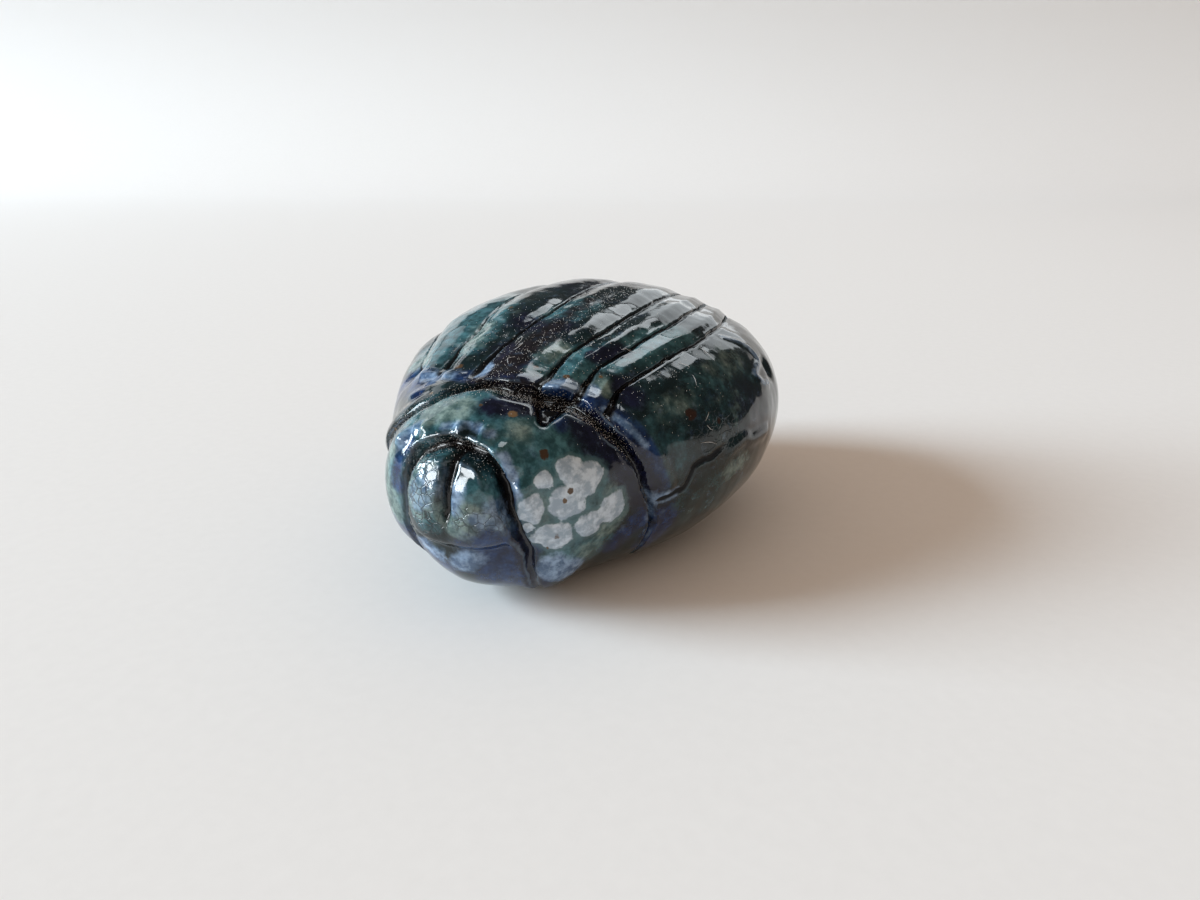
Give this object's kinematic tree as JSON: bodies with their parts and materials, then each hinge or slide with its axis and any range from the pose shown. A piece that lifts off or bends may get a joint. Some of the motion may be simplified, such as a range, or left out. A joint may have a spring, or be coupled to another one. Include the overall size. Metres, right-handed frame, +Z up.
{
  "type": "scarab amulet",
  "caption": "Egg-shaped glazed ceramic beetle with a flat underside, striped wing cases, a rounded collar and a small lobed head.",
  "frame": {"origin": "under the middle of the body's box, on the flat underside", "axes": "+Z up, +Y from the head to the tail, +X towards the beetle's side seen at the right of the picture"},
  "size_m": [0.034, 0.045, 0.021],
  "materials": {
    "glaze": "thick high-gloss glaze, dark green and cobalt blue with pale blisters and brown specks"
  },
  "bodies": {
    "root": {"scarab": "glaze"}
  },
  "joints": []
}
